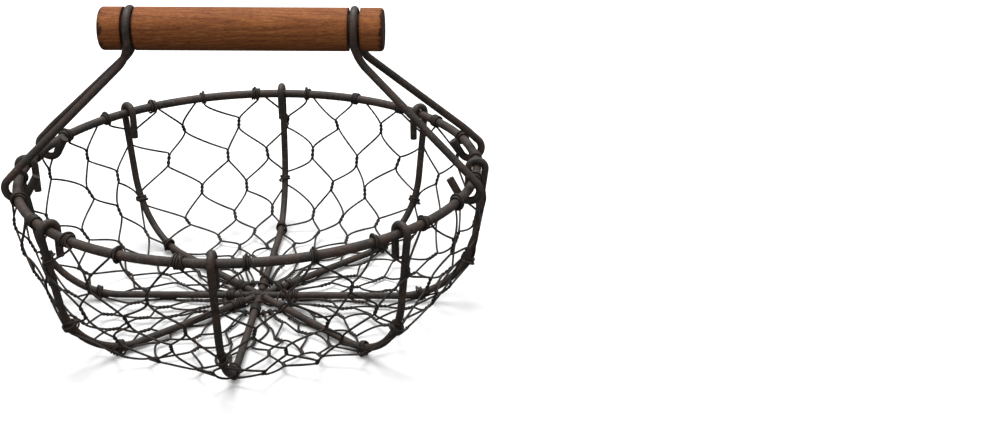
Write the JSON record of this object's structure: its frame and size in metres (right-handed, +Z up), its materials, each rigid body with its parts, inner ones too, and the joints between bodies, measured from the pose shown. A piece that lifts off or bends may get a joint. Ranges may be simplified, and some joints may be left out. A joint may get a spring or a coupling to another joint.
{
  "type": "egg collection basket",
  "caption": "Round wire egg basket lined with hexagonal netting, with a wooden grip on two wire bails for gathering and carrying eggs.",
  "frame": {"origin": "middle of the bowl, on the surface that the basket stands on", "axes": "+Z up; the grip lies along X, with its two bails at -X and +X; the basket is seen from -Y"},
  "size_m": [0.2106, 0.2106, 0.1398],
  "materials": {
    "wire": "dark brown satin coating, a little rusty",
    "netting": "dark brown satin coating",
    "wood": "oiled orange-brown hardwood with darker streaks"
  },
  "bodies": {
    "basket": {"rim_ring": "wire", "rib_side_to_side": "wire", "rib_back_right": "wire", "rib_back": "wire", "rib_back_left": "wire", "rib_front_left": "wire", "rib_front": "wire", "rib_front_right": "wire", "centre_weld": "wire", "netting_upper_wall": "netting", "netting_lower_wall": "netting", "netting_corner": "netting", "netting_floor": "netting", "rim_wraps": "netting", "rib_ties": "netting", "gather_wire": "netting"},
    "handle": {"bail_left": "wire", "bail_right": "wire"},
    "grip": {"wooden_grip": "wood"}
  },
  "joints": [
    {"name": "handle_rock", "type": "hinge", "parent": "basket", "child": "handle", "pos_m": [0, 0, 0.0662], "axis": [1, 0, 0], "range_deg": [-2.5, 2.5]},
    {"name": "grip_spin", "type": "hinge", "parent": "handle", "child": "grip", "pos_m": [0, 0, 0.1297], "axis": [1, 0, 0], "continuous": true}
  ]
}
